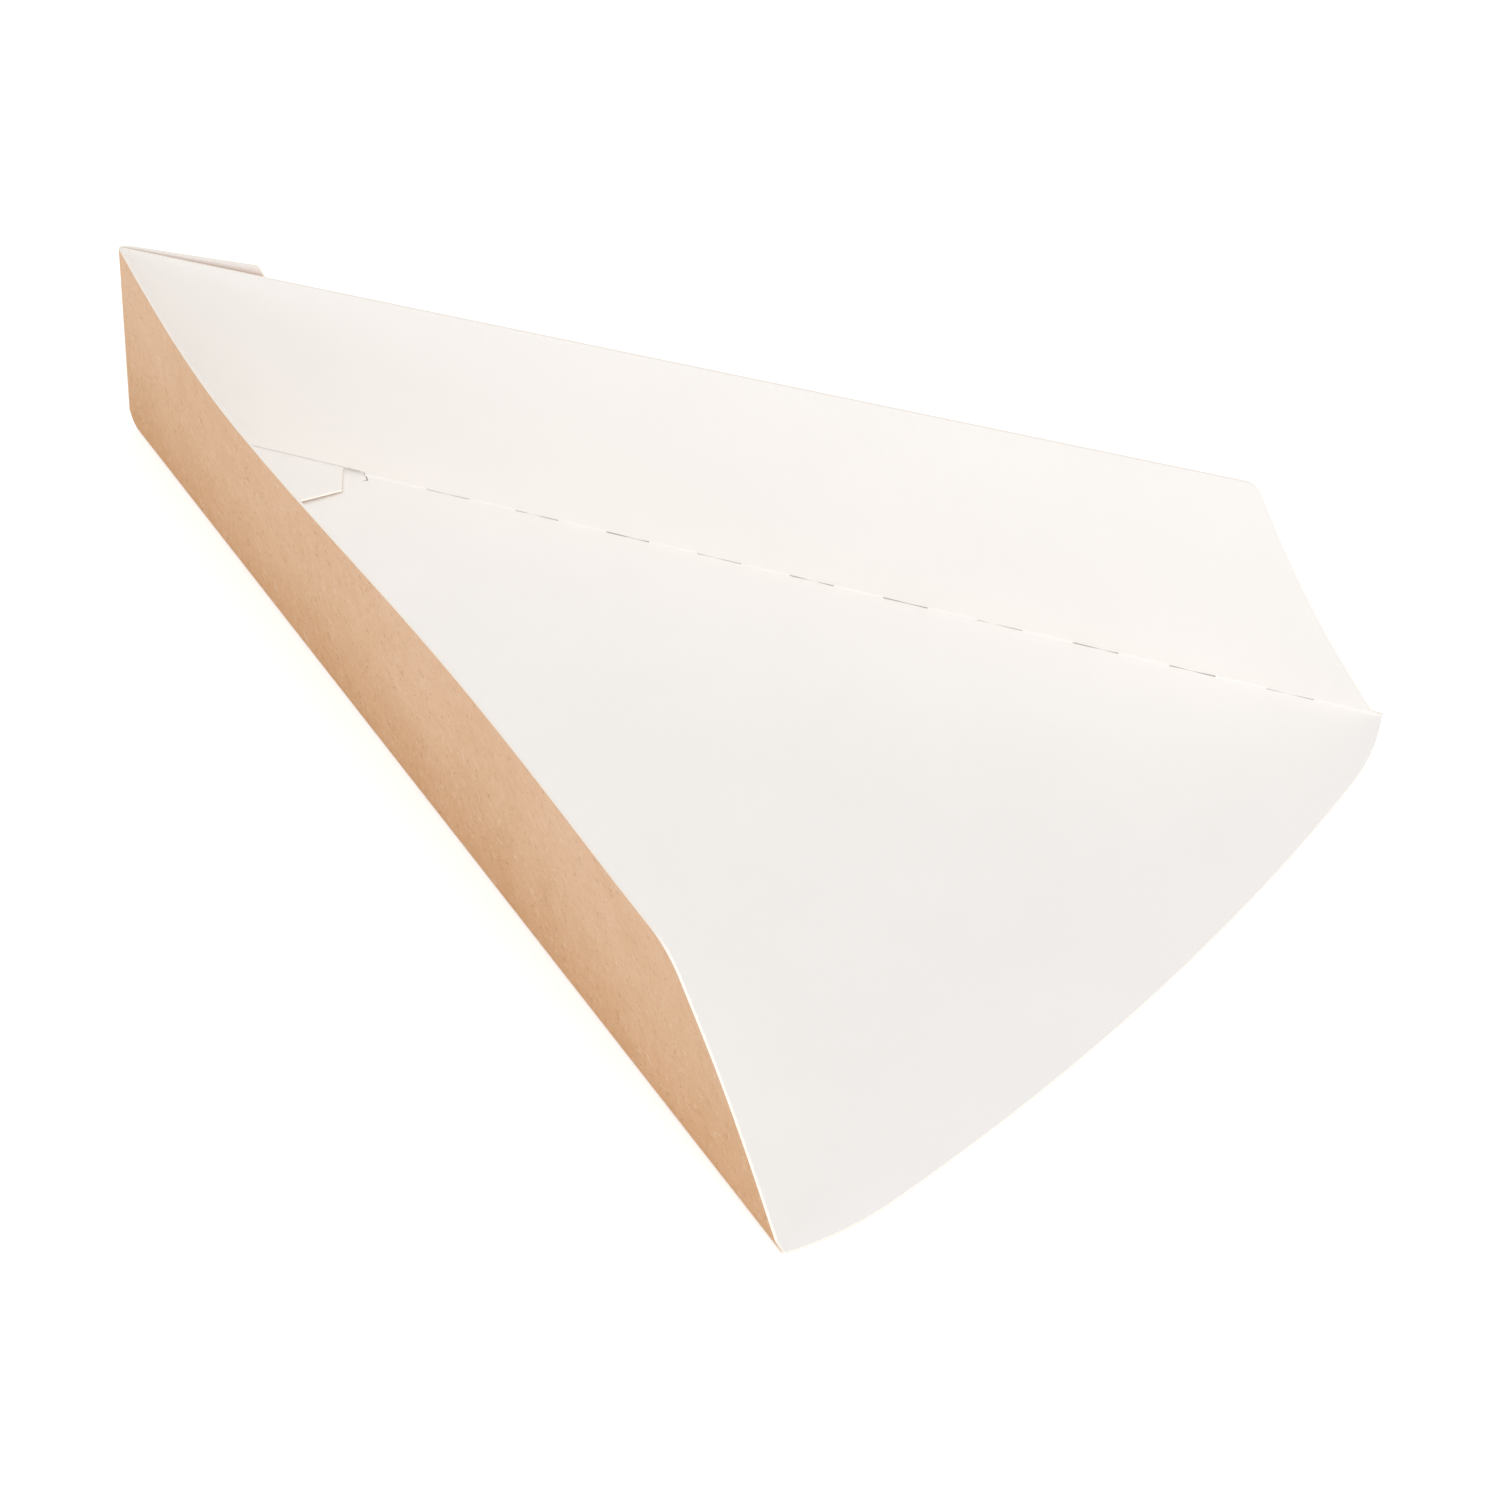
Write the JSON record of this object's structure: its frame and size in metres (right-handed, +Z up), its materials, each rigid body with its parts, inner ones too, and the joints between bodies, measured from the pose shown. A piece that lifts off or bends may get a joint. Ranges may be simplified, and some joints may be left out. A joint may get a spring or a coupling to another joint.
{
  "type": "pizza slice tray",
  "caption": "Open wedge-shaped takeaway tray for a slice of pizza, folded from a sheet of paperboard, with side walls and a locking flap at the point.",
  "frame": {"origin": "on the underside of the base, on the middle line of the wedge, 150 mm from the point where the creases meet", "axes": "+X along the middle line from the point to the open front, +Y towards the straight wall that the flap locks into, +Z up"},
  "size_m": [0.2252, 0.1577, 0.0422],
  "materials": {
    "board": "white matt inside face, natural brown kraft outside face, cream cut edges"
  },
  "bodies": {
    "root": {"tray": "board"}
  },
  "joints": []
}
